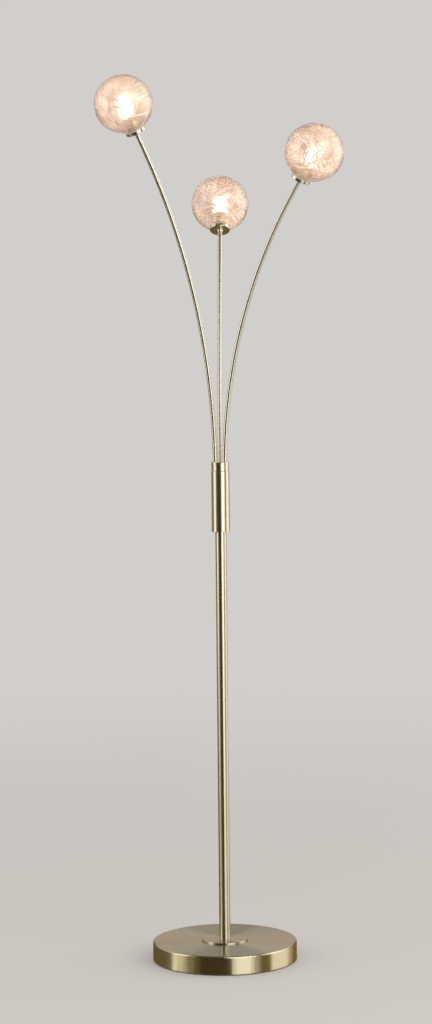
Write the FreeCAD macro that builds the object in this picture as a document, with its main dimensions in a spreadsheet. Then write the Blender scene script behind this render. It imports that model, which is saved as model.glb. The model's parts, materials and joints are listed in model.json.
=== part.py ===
import FreeCAD, Part
import math
import os
import re

import Sketcher

# A floor lamp: a weighted round base, a pole in two lengths, a sleeve that hides the wiring,
# and three thin tubes that rise from it at different heights and bow outwards, each with a
# glass globe on a shallow brass cup. Millimetres, +Z up, the origin on the floor under the pole.
# The front faces -Y: the left arm leans to -X, the right one to +X and the rear one to +Y.

SIZES = {
    # base
    "base_dia": 250,
    "base_height": 33,
    "base_edge_radius": 3,
    "cover_wall": 1.5,
    "cover_floor_gap": 1.5,
    "pad_thickness": 2.5,
    "pad_inset": 6,
    "plate_thickness": 1.5,
    "plate_gap": 0.5,
    "weight_gap": 1,
    "weight_chamfer": 2.5,
    "weight_rim": 30,
    "weight_recess_depth": 14,
    "weight_draft": 4,
    "rib_azimuth": 30,
    "weight_hub_dia": 68,
    "rib_width": 18,
    "nut_recess_dia": 34,
    "nut_recess_depth": 12,
    "plate_screw_radius": 60,
    "plate_screw_dia": 4,
    "plate_screw_length": 12,
    "plate_screw_head_dia": 7.5,
    "plate_screw_head": 1.8,
    "plate_screw_crown": 0.7,
    "plate_screw_end_gap": 1,
    "plate_screw_access": 10,
    # cord outlet
    "outlet_height": 12,
    "outlet_bore": 6.5,
    "bush_body_dia": 9.6,
    "bush_flange_dia": 13,
    "bush_flange": 2,
    "bush_groove_gap": 0.4,
    "bush_tail": 3.5,
    "bush_barb": 1,
    # pole
    "flange_dia": 80,
    "flange_thickness": 3,
    "flange_edge_radius": 0.8,
    "pole_dia": 19,
    "pole_wall": 1.5,
    "pole_lower_length": 355,
    "pole_upper_length": 357,
    "pole_end_chamfer": 0.5,
    "pole_foot_length": 20,
    "coupler_half": 25,
    "coupler_bore": 9,
    "stud_dia": 10,
    "stud_bore": 7,
    "stud_pole_depth": 17,
    "stud_tail": 2,
    "stud_nut_flats": 17,
    "stud_nut_height": 6,
    "washer_dia": 28,
    "washer_thickness": 1.5,
    "washer_margin": 1,
    "thread_gap": 0.05,
    "hole_gap": 0.2,
    # hub
    "sleeve_dia": 31,
    "sleeve_wall": 1.5,
    "sleeve_length": 105,
    "sleeve_edge_radius": 0.6,
    "sleeve_seam_chamfer": 0.5,
    "adaptor_recess": 0.8,
    "adaptor_socket": 20,
    "adaptor_lip": 6,
    "adaptor_bore": 13,
    "grub_dia": 3,
    "grub_height": 10,
    "grub_recess": 0.6,
    "cap_dia": 30,
    "cap_height": 15,
    "cap_edge_radius": 0.6,
    "cap_spigot": 10,
    "block_width": 16,
    "block_depth": 13,
    "block_height": 22,
    "block_chamfer": 1,
    "lead_entry_radius": 4,
    "lead_entry_depth": 3,
    # arms
    "arm_dia": 8,
    "arm_wall": 1,
    "arm_radius": 9.5,
    "arm_azimuth": 90,
    "arm_tip_straight": 35,
    "arm_hole_gap": 0.05,
    "left_rise": 562.5,
    "left_reach": 143.5,
    "right_rise": 481,
    "right_reach": 153,
    "rear_rise": 393.5,
    "rear_reach": 127,
    "nipple_bore": 3.8,
    "nipple_grip": 8,
    "nipple_tail": 8,
    "nipple_gap": 0.1,
    "arm_nut_flats": 8,
    "arm_nut_height": 4,
    "lead_dia": 3,
    "lead_bend": 12,
    "lead_straight": 6,
    "lead_gap": 0.3,
    # heads, measured along each arm's last direction from the cup's underside
    "ferrule_dia": 11,
    "ferrule_length": 4,
    "cup_dia": 35,
    "cup_height": 10.5,
    "cup_wall": 1.2,
    "cup_floor": 1.5,
    "cup_edge_radius": 1,
    "cup_shoulder": 1.2,
    "cup_nut_flats": 12,
    "cup_nut_height": 4,
    "cover_dia": 24,
    "cover_sheet": 0.8,
    "cover_height": 24,
    "cover_floor": 1,
    "gasket_height": 0.8,
    "gasket_gap": 0.3,
    "holder_dia": 20.6,
    "holder_foot_dia": 14,
    "holder_foot": 5,
    "holder_chamfer": 2,
    "holder_top": 26,
    "holder_nut_gap": 0.5,
    "holder_thread": 5,
    "holder_recess_dia": 16,
    "holder_recess": 4,
    "wire_bore": 4,
    "wire_bore_depth": 4,
    "pin_spacing": 9,
    "pin_width": 2.6,
    "pin_thickness": 0.9,
    "pin_length": 7,
    "pin_gap": 0.3,
    "pin_end_gap": 0.8,
    "bulb_base_dia": 15,
    "bulb_base_height": 10,
    "bulb_dia": 24,
    "bulb_length": 34,
    "bulb_wall": 1,
    "bulb_seat": 3,
    "seat_gap": 0.3,
    "globe_dia": 100,
    "globe_wall": 2,
    "globe_offset": 54,
    "globe_mouth_gap": 0.3,
}

# Lengths that follow from the sizes, each an expression in their names.
DERIVED = {
    "base_radius": "base_dia / 2",
    "cover_inside": "base_radius - cover_wall",
    "plate_radius": "cover_inside - plate_gap",
    "weight_radius": "cover_inside - weight_gap",
    "pad_radius": "plate_radius - pad_inset",
    "weight_bottom": "pad_thickness + plate_thickness",
    "weight_top": "base_height - cover_wall",
    "weight_recess_top": "weight_bottom + weight_recess_depth",
    "nut_recess_top": "weight_bottom + nut_recess_depth",
    "stud_hole_radius": "stud_dia / 2 + hole_gap",
    "stud_thread_radius": "stud_dia / 2 + thread_gap",
    "stud_nut_bottom": "nut_recess_top - washer_thickness - stud_nut_height",
    "flange_top": "base_height + flange_thickness",
    "pole_radius": "pole_dia / 2",
    "pole_inside": "pole_radius - pole_wall",
    "pole_joint": "flange_top + pole_lower_length",
    "sleeve_bottom": "pole_joint + pole_upper_length",
    "sleeve_top": "sleeve_bottom + sleeve_length",
    "sleeve_inside": "sleeve_dia / 2 - sleeve_wall",
    "adaptor_bottom": "sleeve_bottom + adaptor_recess",
    "pole_top": "adaptor_bottom + adaptor_socket",
    "adaptor_top": "pole_top + adaptor_lip",
    "block_top": "adaptor_top + block_height",
    "left_azimuth": "arm_azimuth + 120",
    "right_azimuth": "arm_azimuth + 240",
    "rear_azimuth": "arm_azimuth",
    "arm_inside": "arm_dia / 2 - arm_wall",
    "arm_end": "cup_floor + cover_floor + cup_nut_height + holder_nut_gap + holder_thread",
    "arm_thread_radius": "arm_dia / 2 + thread_gap",
    "arm_pass_radius": "arm_dia / 2 + hole_gap / 2",
    "nipple_radius": "arm_inside - nipple_gap",
    "holder_bottom": "cup_floor + cover_floor + cup_nut_height + holder_nut_gap",
    "holder_recess_floor": "holder_top - holder_recess",
    "bulb_base_bottom": "holder_recess_floor + seat_gap",
    "bulb_base_top": "bulb_base_bottom + bulb_base_height",
    "bulb_top": "bulb_base_top + bulb_length",
    "bulb_end": "bulb_top - bulb_dia / 2",
    "globe_radius": "globe_dia / 2",
    "globe_inside": "globe_radius - globe_wall",
    "rim_radius": "cup_dia / 2 - cup_shoulder",
    "cup_inside": "rim_radius - cup_wall",
    "mouth_radius": "rim_radius + globe_mouth_gap",
    "mouth_outer": "globe_offset - sqrt(globe_radius ^ 2 - mouth_radius ^ 2)",
    "mouth_inner": "globe_offset - sqrt(globe_inside ^ 2 - mouth_radius ^ 2)",
    "gasket_top": "mouth_outer - gasket_gap",
    "shoulder_top": "gasket_top - gasket_height",
}

ARMS = ("left", "right", "rear")

# An arm leaves the cap's foot upright, follows one arc and ends in a straight tip. These give
# the arc's tilt and radius from the tip's rise above the cap and its reach from the arm's foot.
for arm in ARMS:
    height = f"({arm}_rise + cap_height)"
    squares = f"({arm}_reach ^ 2 + {height} ^ 2 - arm_tip_straight ^ 2)"
    tangent = f"({squares} / (2 * ({height} + arm_tip_straight)))"
    DERIVED[arm + "_tilt"] = f"atan2({arm}_reach; {height} - {tangent})"
    DERIVED[arm + "_bend"] = f"{tangent} / tan({arm}_tilt / 2)"
DERIVED["arm_lean"] = "cap_height ^ 2 / 2 / min(left_bend; right_bend; rear_bend)"

doc = FreeCAD.newDocument("floor_lamp")
sheet = doc.addObject("Spreadsheet::Sheet", "sizes")
for row, (alias, number) in enumerate(SIZES.items(), start=1):
    sheet.set(f"A{row}", alias)
    sheet.set(f"B{row}", str(number))
    sheet.setAlias(f"B{row}", alias)
doc.recompute()

subparts = []


def bound(text):
    """The expression that an object is bound to: every name becomes a cell of the sheet."""

    def cell(match):
        name = match.group()
        if name in DERIVED:
            return "(" + bound(DERIVED[name]) + ")"
        return "sizes." + name if name in SIZES else name

    return re.sub(r"[a-z][a-z_]*\d?", cell, str(text))


def value(text):
    """What an expression comes to with the sheet's present sizes."""
    result = sheet.evalExpression(bound(text))
    return float(getattr(result, "Value", result))


def origin_feature(body, role):
    return [item for item in body.Origin.OriginFeatures if item.Role == role][0]


def new_body(name, keep=True):
    body = doc.addObject("PartDesign::Body", name)
    body.Label = name
    if keep:
        subparts.append(body)
    return body


def new_sketch(body, name, role="XZ_Plane", lift="0", shift="0", turned="0"):
    """A sketch on one of the body's own planes, lifted off it, shifted along X and turned in it."""
    sketch = body.newObject("Sketcher::SketchObject", name)
    sketch.AttachmentSupport = (origin_feature(body, role), "")
    sketch.MapMode = "FlatFace"
    if lift != "0":
        sketch.setExpression("AttachmentOffset.Base.z", bound(lift))
    if shift != "0":
        sketch.setExpression("AttachmentOffset.Base.x", bound(shift))
    if turned != "0":
        sketch.setExpression("AttachmentOffset.Rotation.Angle", bound(turned))
    return sketch


def fix(sketch, kind, geometry, end, text):
    """Bind one coordinate of a sketch point, or put the point on the axis where it is nought."""
    if text == "0":
        sketch_axis = -2 if kind == "DistanceX" else -1
        sketch.addConstraint(Sketcher.Constraint("PointOnObject", geometry, end, sketch_axis))
        return
    index = sketch.addConstraint(Sketcher.Constraint(kind, -1, 1, geometry, end, value(text)))
    sketch.setExpression(f"Constraints[{index}]", bound(text))


def measure(sketch, kind, geometry, text):
    index = sketch.addConstraint(Sketcher.Constraint(kind, geometry, value(text)))
    sketch.setExpression(f"Constraints[{index}]", bound(text))


def arc_between(start, end, radius):
    """An arc from start to end; a positive radius keeps the centre on the left of the chord."""
    chord = end - start
    middle = (start + end) * 0.5
    offset = math.sqrt(max(radius**2 - chord.Length**2 / 4, 0))
    left = FreeCAD.Vector(-chord.y, chord.x, 0).normalize()
    centre = middle + left * math.copysign(offset, radius)
    first = math.atan2(start.y - centre.y, start.x - centre.x)
    last = math.atan2(end.y - centre.y, end.x - centre.x)
    if radius < 0:
        first, last = last, first
    circle = Part.Circle(centre, FreeCAD.Vector(0, 0, 1), abs(radius))
    return Part.ArcOfCircle(circle, first, last)


def outline(sketch, points):
    """A closed outline whose corners are bound expressions. A third entry in a point makes the
    edge that arrives there an arc of that radius, with a minus sign where it turns clockwise."""
    corners = [FreeCAD.Vector(value(point[0]), value(point[1]), 0) for point in points]
    offset = sketch.GeometryCount
    count = len(points)
    leaving = []
    arriving = []
    for index in range(count):
        after = (index + 1) % count
        radius = points[after][2] if len(points[after]) == 3 else None
        if radius is None:
            sketch.addGeometry(Part.LineSegment(corners[index], corners[after]), False)
            clockwise = False
        else:
            clockwise = radius.startswith("-")
            sketch.addGeometry(arc_between(corners[index], corners[after], value(radius)), False)
        leaving.append(2 if clockwise else 1)
        arriving.append(1 if clockwise else 2)
    for index in range(count):
        after = (index + 1) % count
        ends = (offset + index, arriving[index], offset + after, leaving[after])
        sketch.addConstraint(Sketcher.Constraint("Coincident", *ends))
    for index, point in enumerate(points):
        fix(sketch, "DistanceX", offset + index, leaving[index], point[0])
        fix(sketch, "DistanceY", offset + index, leaving[index], point[1])
        before = (index - 1) % count
        if len(point) == 3:
            measure(sketch, "Radius", offset + before, point[2].lstrip("-"))


def circle(sketch, radius, x="0", y="0"):
    centre = FreeCAD.Vector(value(x), value(y), 0)
    index = sketch.addGeometry(Part.Circle(centre, FreeCAD.Vector(0, 0, 1), value(radius)), False)
    if x == "0" and y == "0":
        sketch.addConstraint(Sketcher.Constraint("Coincident", index, 3, -1, 1))
    else:
        fix(sketch, "DistanceX", index, 3, x)
        fix(sketch, "DistanceY", index, 3, y)
    measure(sketch, "Radius", index, radius)


def rectangle(sketch, left, bottom, right, top):
    outline(sketch, [(left, bottom), (right, bottom), (right, top), (left, top)])


def turn(body, name, points, shift="0"):
    """Revolve an outline of radius and height about the vertical line at the shift."""
    sketch = new_sketch(body, name + "_profile", shift=shift)
    outline(sketch, points)
    revolution = body.newObject("PartDesign::Revolution", name)
    revolution.Profile = sketch
    revolution.ReferenceAxis = (sketch, ["V_Axis"])
    revolution.Angle = 360
    body.Tip = revolution
    return revolution


def pad(body, name, sketch, length):
    feature = body.newObject("PartDesign::Pad", name)
    feature.Profile = sketch
    feature.setExpression("Length", bound(length))
    body.Tip = feature
    return feature


def pocket(body, name, sketch, length, away=False):
    """Cut against the sketch's normal, or along it where away is set; it must remove something."""
    doc.recompute()
    before = body.Shape.Volume
    feature = body.newObject("PartDesign::Pocket", name)
    feature.Profile = sketch
    feature.Reversed = away
    feature.setExpression("Length", bound(length))
    body.Tip = feature
    doc.recompute()
    if body.Shape.Volume > before - 1e-3:
        raise RuntimeError(name + " cuts nothing")
    return feature


def repeat(body, name, feature, copies=3):
    """Copies of a feature at equal angles about the body's own Z axis."""
    pattern = body.newObject("PartDesign::PolarPattern", name)
    pattern.Originals = [feature]
    pattern.Axis = (origin_feature(body, "Z_Axis"), [""])
    pattern.Angle = 360
    pattern.Occurrences = copies
    body.Tip = pattern
    return pattern


def ring(name, inside, outside, bottom, top):
    body = new_body(name)
    turn(body, name + "_ring", [(inside, bottom), (outside, bottom), (outside, top), (inside, top)])
    return body


def hexagon(body, name, flats, bore, bottom, height, shift="0"):
    """A nut's prism with two flats square to the sketch's X, and its round bore."""
    sketch = new_sketch(body, name + "_outline", "XY_Plane", lift=bottom, shift=shift)
    side = f"{flats} / 2"
    corner = f"{flats} / 2 / cos(30) "
    half = f"{flats} / 2 * tan(30)"
    outline(
        sketch,
        [
            (side, "-" + half),
            (side, half),
            ("0", corner),
            ("-" + side, half),
            ("-" + side, "-" + half),
            ("0", "-" + corner),
        ],
    )
    circle(sketch, bore)
    return pad(body, name, sketch, height)


def place(body, x="0", y="0", z="0", axis=("0", "0", "1"), angle="0"):
    vector = f"create(<<vector>>; {bound(x)}; {bound(y)}; {bound(z)})"
    around = f"create(<<vector>>; {bound(axis[0])}; {bound(axis[1])}; {bound(axis[2])})"
    turned = f"create(<<rotation>>; {around}; {bound(angle)})"
    body.setExpression("Placement", f"create(<<placement>>; {vector}; {turned})")


# ---------------------------------------------------------------- base


def base_cover():
    """Spun metal shell: flat top, rounded edge, straight skirt."""
    body = new_body("base_cover")
    turn(
        body,
        "cover_spinning",
        [
            ("stud_hole_radius", "weight_top"),
            ("cover_inside - base_edge_radius + cover_wall", "weight_top"),
            ("cover_inside", "base_height - base_edge_radius", "-(base_edge_radius - cover_wall)"),
            ("cover_inside", "cover_floor_gap"),
            ("base_radius", "cover_floor_gap"),
            ("base_radius", "base_height - base_edge_radius"),
            ("base_radius - base_edge_radius", "base_height", "base_edge_radius"),
            ("stud_hole_radius", "base_height"),
        ],
    )
    hole = new_sketch(body, "outlet_hole_outline")
    circle(hole, "bush_body_dia / 2 + hole_gap", "0", "outlet_height")
    pocket(body, "outlet_hole", hole, "base_dia")
    return body


def base_weight():
    """Iron casting under the shell, hollowed beneath, with ribs, a nut recess and a cord channel."""
    body = new_body("base_weight")
    turn(
        body,
        "casting",
        [
            ("stud_hole_radius", "nut_recess_top"),
            ("nut_recess_dia / 2", "nut_recess_top"),
            ("nut_recess_dia / 2", "weight_bottom"),
            ("weight_hub_dia / 2", "weight_bottom"),
            ("weight_hub_dia / 2 + weight_draft", "weight_recess_top"),
            ("weight_radius - weight_rim - weight_draft", "weight_recess_top"),
            ("weight_radius - weight_rim", "weight_bottom"),
            ("weight_radius", "weight_bottom"),
            ("weight_radius", "weight_top - weight_chamfer"),
            ("weight_radius - weight_chamfer", "weight_top"),
            ("stud_hole_radius", "weight_top"),
        ],
    )
    rib_sketch = new_sketch(
        body, "rib_outline", "XY_Plane", lift="weight_bottom", turned="rib_azimuth"
    )
    rectangle(
        rib_sketch,
        "weight_hub_dia / 2 - weight_draft",
        "-rib_width / 2",
        "weight_radius - weight_rim + weight_draft",
        "rib_width / 2",
    )
    rib = pad(body, "rib", rib_sketch, "weight_recess_depth + cover_wall")
    repeat(body, "ribs", rib)
    screw_hole = new_sketch(
        body, "screw_hole_outline", "XY_Plane", lift="weight_bottom", turned="rib_azimuth"
    )
    circle(screw_hole, "plate_screw_dia / 2 + thread_gap", "plate_screw_radius", "0")
    hole = pocket(body, "screw_hole", screw_hole, "plate_screw_length", away=True)
    repeat(body, "screw_holes", hole)
    channel = new_sketch(body, "channel_outline", "XY_Plane", lift="weight_bottom")
    rectangle(
        channel,
        "-bush_flange_dia / 2 - bush_groove_gap",
        "washer_dia / 2 + washer_margin",
        "bush_flange_dia / 2 + bush_groove_gap",
        "base_radius",
    )
    pocket(
        body,
        "cord_channel",
        channel,
        "outlet_height + bush_flange_dia / 2 + bush_groove_gap - weight_bottom",
        away=True,
    )
    return body


def disc_with_holes(name, radius, bottom, thickness, hole_radius):
    """A disc with three holes round the ribs' screws."""
    body = new_body(name)
    disc = new_sketch(body, name + "_outline", "XY_Plane", lift=bottom)
    circle(disc, radius)
    pad(body, name + "_disc", disc, thickness)
    holes = new_sketch(
        body, name + "_hole_outline", "XY_Plane", lift=bottom, turned="rib_azimuth"
    )
    circle(holes, hole_radius, "plate_screw_radius", "0")
    hole = pocket(body, name + "_hole", holes, thickness, away=True)
    repeat(body, name + "_holes", hole)
    return body


def plate_screws():
    """Three pan-head screws that hold the bottom plate to the ribs."""
    body = new_body("plate_screws")
    shank = "plate_screw_dia / 2"
    head = "plate_screw_head_dia / 2"
    screw = turn(
        body,
        "plate_screw",
        [
            ("0", "pad_thickness - plate_screw_head"),
            (head + " - plate_screw_crown", "pad_thickness - plate_screw_head"),
            (head, "pad_thickness - plate_screw_head + plate_screw_crown"),
            (head, "pad_thickness"),
            (shank, "pad_thickness"),
            (shank, "weight_bottom + plate_screw_length - plate_screw_end_gap"),
            ("0", "weight_bottom + plate_screw_length - plate_screw_end_gap"),
        ],
        shift="plate_screw_radius",
    )
    repeat(body, "plate_screw_pattern", screw)
    place(body, angle="rib_azimuth")
    return body


def cord_bush():
    """Rubber bush snapped into the skirt's rear hole; local Z runs out of the lamp."""
    body = new_body("cord_bush")
    inner_face = "-cover_wall - bush_groove_gap"
    turn(
        body,
        "bush",
        [
            ("outlet_bore / 2", inner_face + " - bush_tail"),
            ("bush_body_dia / 2", inner_face + " - bush_tail"),
            ("bush_flange_dia / 2", inner_face + " - bush_barb"),
            ("bush_flange_dia / 2", inner_face),
            ("bush_body_dia / 2", inner_face),
            ("bush_body_dia / 2", "thread_gap"),
            ("bush_flange_dia / 2", "thread_gap"),
            ("bush_flange_dia / 2", "bush_flange / 2"),
            ("bush_flange_dia / 2 - bush_flange / 2", "bush_flange", "bush_flange / 2"),
            ("outlet_bore / 2", "bush_flange"),
        ],
    )
    place(body, y="base_radius", z="outlet_height", axis=("1", "0", "0"), angle="-90")
    return body


# ---------------------------------------------------------------- pole


def pole_flange():
    body = new_body("pole_flange")
    turn(
        body,
        "flange",
        [
            ("stud_hole_radius", "base_height"),
            ("flange_dia / 2", "base_height"),
            ("flange_dia / 2", "flange_top - flange_edge_radius"),
            ("flange_dia / 2 - flange_edge_radius", "flange_top", "flange_edge_radius"),
            ("stud_hole_radius", "flange_top"),
        ],
    )
    return body


def base_nut():
    body = new_body("base_nut")
    hexagon(body, "nut", "stud_nut_flats", "stud_thread_radius", "stud_nut_bottom", "stud_nut_height")
    return body


def tube(name, bottom, top, chamfer_bottom, chamfer_top):
    """A length of pole with its visible joint edge broken by a small chamfer."""
    body = new_body(name)
    edge = "pole_radius - pole_end_chamfer"
    points = [("pole_inside", bottom)]
    if chamfer_bottom:
        points += [(edge, bottom), ("pole_radius", bottom + " + pole_end_chamfer")]
    else:
        points += [("pole_radius", bottom)]
    if chamfer_top:
        points += [("pole_radius", top + " - pole_end_chamfer"), (edge, top)]
    else:
        points += [("pole_radius", top)]
    points += [("pole_inside", top)]
    turn(body, name + "_tube", points)
    return body


# ---------------------------------------------------------------- hub


def hub_adaptor():
    """Turned ring that centres the sleeve on the pole's top; its lip stops the pole."""
    body = new_body("hub_adaptor")
    turn(
        body,
        "adaptor",
        [
            ("pole_radius + thread_gap", "adaptor_bottom"),
            ("sleeve_inside - thread_gap", "adaptor_bottom"),
            ("sleeve_inside - thread_gap", "adaptor_top"),
            ("adaptor_bore / 2", "adaptor_top"),
            ("adaptor_bore / 2", "pole_top"),
            ("pole_radius + thread_gap", "pole_top"),
        ],
    )
    hole = new_sketch(body, "grub_hole_outline")
    circle(hole, "grub_dia / 2 + thread_gap", "0", "sleeve_bottom + grub_height")
    pocket(body, "grub_hole", hole, "sleeve_dia")
    return body


def hub_sleeve():
    body = new_body("hub_sleeve")
    outside = "sleeve_dia / 2"
    turn(
        body,
        "sleeve",
        [
            ("sleeve_inside", "sleeve_bottom"),
            (outside + " - sleeve_edge_radius", "sleeve_bottom"),
            (outside, "sleeve_bottom + sleeve_edge_radius", "sleeve_edge_radius"),
            (outside, "sleeve_top - sleeve_seam_chamfer"),
            (outside + " - sleeve_seam_chamfer", "sleeve_top"),
            ("sleeve_inside", "sleeve_top"),
        ],
    )
    hole = new_sketch(body, "sleeve_grub_outline")
    circle(hole, "grub_dia / 2 + hole_gap", "0", "sleeve_bottom + grub_height")
    pocket(body, "sleeve_grub_hole", hole, "sleeve_dia")
    return body


def hub_grub_screw():
    """Grub screw at the back that pins the sleeve and the ring to the pole; local Z points out."""
    body = new_body("hub_grub_screw")
    outer = "sleeve_dia / 2 - grub_recess"
    tip = "pole_radius + thread_gap"
    turn(
        body,
        "grub",
        [
            ("0", tip),
            ("grub_dia / 4", tip),
            ("grub_dia / 2", tip + " + grub_dia / 4"),
            ("grub_dia / 2", outer),
            ("0", outer),
        ],
    )
    socket = new_sketch(body, "grub_socket_outline", "XY_Plane", lift=outer)
    circle(socket, "grub_dia / 4")
    pocket(body, "grub_socket", socket, "grub_dia / 2")
    place(body, z="sleeve_bottom + grub_height", axis=("1", "0", "0"), angle="-90")
    return body


def hub_cap():
    """Turned cap with a spigot in the sleeve and three sockets for the arms' feet."""
    body = new_body("hub_cap")
    turn(
        body,
        "cap",
        [
            ("0", "-cap_spigot"),
            ("sleeve_inside - thread_gap", "-cap_spigot"),
            ("sleeve_inside - thread_gap", "0"),
            ("cap_dia / 2 - sleeve_seam_chamfer", "0"),
            ("cap_dia / 2", "sleeve_seam_chamfer"),
            ("cap_dia / 2", "cap_height - cap_edge_radius"),
            ("cap_dia / 2 - cap_edge_radius", "cap_height", "cap_edge_radius"),
            ("0", "cap_height"),
        ],
    )
    foot = new_sketch(body, "foot_socket_outline", "XY_Plane", lift="cap_height")
    circle(foot, "arm_dia / 2 + arm_hole_gap + arm_lean", "arm_radius", "0")
    repeat(body, "foot_sockets", pocket(body, "foot_socket", foot, "cap_height"))
    through = new_sketch(body, "nipple_hole_outline", "XY_Plane")
    circle(through, "nipple_radius + thread_gap", "arm_radius", "0")
    repeat(body, "nipple_holes", pocket(body, "nipple_hole", through, "cap_spigot"))
    place(body, z="sleeve_top", angle="arm_azimuth")
    return body


def arm_nipples():
    """Threaded nipples brazed into the arms' feet, through the cap."""
    body = new_body("arm_nipples")
    bottom = "-cap_spigot - nipple_tail"
    nipple = turn(
        body,
        "nipple",
        [
            ("nipple_bore / 2", bottom),
            ("nipple_radius", bottom),
            ("nipple_radius", "nipple_grip"),
            ("nipple_bore / 2", "nipple_grip"),
        ],
        shift="arm_radius",
    )
    repeat(body, "nipple_pattern", nipple)
    place(body, z="sleeve_top", angle="arm_azimuth")
    return body


def arm_nuts():
    body = new_body("arm_nuts")
    nut = hexagon(
        body,
        "arm_nut",
        "arm_nut_flats",
        "nipple_radius + thread_gap",
        "-cap_spigot - arm_nut_height",
        "arm_nut_height",
        shift="arm_radius",
    )
    repeat(body, "arm_nut_pattern", nut)
    place(body, z="sleeve_top", angle="arm_azimuth")
    return body


def terminal_block():
    """Moulded connector that stands on the ring and takes the three leads from above."""
    body = new_body("terminal_block")
    base = new_sketch(body, "block_outline", "XY_Plane")
    x = "block_width / 2"
    y = "block_depth / 2"
    outline(
        base,
        [
            (f"-{x} + block_chamfer", "-" + y),
            (f"{x} - block_chamfer", "-" + y),
            (x, f"-{y} + block_chamfer"),
            (x, f"{y} - block_chamfer"),
            (f"{x} - block_chamfer", y),
            (f"-{x} + block_chamfer", y),
            ("-" + x, f"{y} - block_chamfer"),
            ("-" + x, f"-{y} + block_chamfer"),
        ],
    )
    pad(body, "block", base, "block_height")
    entry = new_sketch(body, "lead_entry_outline", "XY_Plane", lift="block_height")
    circle(entry, "lead_dia / 2 + hole_gap", "lead_entry_radius", "0")
    repeat(body, "lead_entries", pocket(body, "lead_entry", entry, "lead_entry_depth"))
    place(body, z="adaptor_top", angle="arm_azimuth")
    return body


# ---------------------------------------------------------------- arms


def arm_path(sketch, arm, first, end):
    """Add an arm's centreline from geometry number first: the long arc, tangent to the upright
    at the foot, and the straight tip that ends the given length past the cup's underside."""
    tilt = math.radians(value(arm + "_tilt"))
    bend = value(arm + "_bend")
    foot = value("arm_radius")
    centre = FreeCAD.Vector(foot + bend, 0, 0)
    whole_circle = Part.Circle(centre, FreeCAD.Vector(0, 0, 1), bend)
    sketch.addGeometry(Part.ArcOfCircle(whole_circle, math.pi - tilt, math.pi), False)
    start = centre + FreeCAD.Vector(-math.cos(tilt), math.sin(tilt), 0) * bend
    length = value("arm_tip_straight + " + end)
    tip = start + FreeCAD.Vector(math.sin(tilt), math.cos(tilt), 0) * length
    sketch.addGeometry(Part.LineSegment(start, tip), False)
    sketch.addConstraint(Sketcher.Constraint("Tangent", first, 1, first + 1, 1))
    fix(sketch, "DistanceX", first + 1, 2, f"arm_radius + {arm}_reach + ({end}) * sin({arm}_tilt)")
    fix(sketch, "DistanceY", first + 1, 2, f"{arm}_rise + cap_height + ({end}) * cos({arm}_tilt)")
    measure(sketch, "Distance", first + 1, f"arm_tip_straight + {end}")


def pipe(body, name, section, path):
    feature = body.newObject("PartDesign::AdditivePipe", name)
    feature.Profile = section
    feature.Spine = path
    body.Tip = feature
    place(body, z="sleeve_top", angle=body.Label.split("_")[1] + "_azimuth")
    return feature


def arm_tube(arm):
    body = new_body("arm_" + arm)
    section = new_sketch(body, body.Label + "_section", "XY_Plane")
    circle(section, "arm_dia / 2", "arm_radius", "0")
    circle(section, "arm_inside", "arm_radius", "0")
    path = new_sketch(body, body.Label + "_path")
    arm_path(path, arm, 0, "arm_end")
    fix(path, "DistanceX", 0, 2, "arm_radius")
    fix(path, "DistanceY", 0, 2, "0")
    pipe(body, body.Label + "_bending", section, path)
    return body


def lead(arm):
    """Insulated twin lead from the terminal block, out to the nipple and up inside the arm."""
    body = new_body("lead_" + arm)
    bottom = "block_top - lead_entry_depth + lead_gap - sleeve_top"
    section = new_sketch(body, body.Label + "_section", "XY_Plane", lift=bottom)
    circle(section, "lead_dia / 2", "lead_entry_radius", "0")
    path = new_sketch(body, body.Label + "_path")
    inner = value("lead_entry_radius")
    outer = value("arm_radius")
    bend = value("lead_bend")
    swing = math.acos(1 - (outer - inner) / 2 / bend)
    low = value(bottom)
    knee = low + value("lead_straight")
    half = bend * math.sin(swing)
    normal = FreeCAD.Vector(0, 0, 1)
    outward = Part.Circle(FreeCAD.Vector(inner + bend, knee, 0), normal, bend)
    upright = Part.Circle(FreeCAD.Vector(outer - bend, knee + 2 * half, 0), normal, bend)
    path.addGeometry(
        [
            Part.LineSegment(FreeCAD.Vector(inner, low, 0), FreeCAD.Vector(inner, knee, 0)),
            Part.ArcOfCircle(outward, math.pi - swing, math.pi),
            Part.ArcOfCircle(upright, -swing, 0),
            Part.LineSegment(FreeCAD.Vector(outer, knee + 2 * half, 0), FreeCAD.Vector(outer, 0, 0)),
        ],
        False,
    )
    fix(path, "DistanceX", 0, 1, "lead_entry_radius")
    fix(path, "DistanceY", 0, 1, bottom)
    path.addConstraint(Sketcher.Constraint("Vertical", 0))
    measure(path, "Distance", 0, "lead_straight")
    path.addConstraint(Sketcher.Constraint("Tangent", 0, 2, 1, 2))
    measure(path, "Radius", 1, "lead_bend")
    path.addConstraint(Sketcher.Constraint("Tangent", 1, 1, 2, 1))
    measure(path, "Radius", 2, "lead_bend")
    path.addConstraint(Sketcher.Constraint("Tangent", 2, 2, 3, 1))
    fix(path, "DistanceX", 3, 2, "arm_radius")
    fix(path, "DistanceY", 3, 2, "0")
    arm_path(path, arm, 4, "arm_end + wire_bore_depth - lead_gap")
    path.addConstraint(Sketcher.Constraint("Tangent", 3, 2, 4, 2))
    pipe(body, body.Label + "_run", section, path)
    return body


# ---------------------------------------------------------------- heads


def on_tip(body, arm):
    """Stand a piece on an arm's tip, its own Z along the tip."""
    reach = f"(arm_radius + {arm}_reach)"
    place(
        body,
        x=f"{reach} * cos({arm}_azimuth)",
        y=f"{reach} * sin({arm}_azimuth)",
        z=f"sleeve_top + cap_height + {arm}_rise",
        axis=(f"-sin({arm}_azimuth)", f"cos({arm}_azimuth)", "0"),
        angle=arm + "_tilt",
    )
    return body


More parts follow.
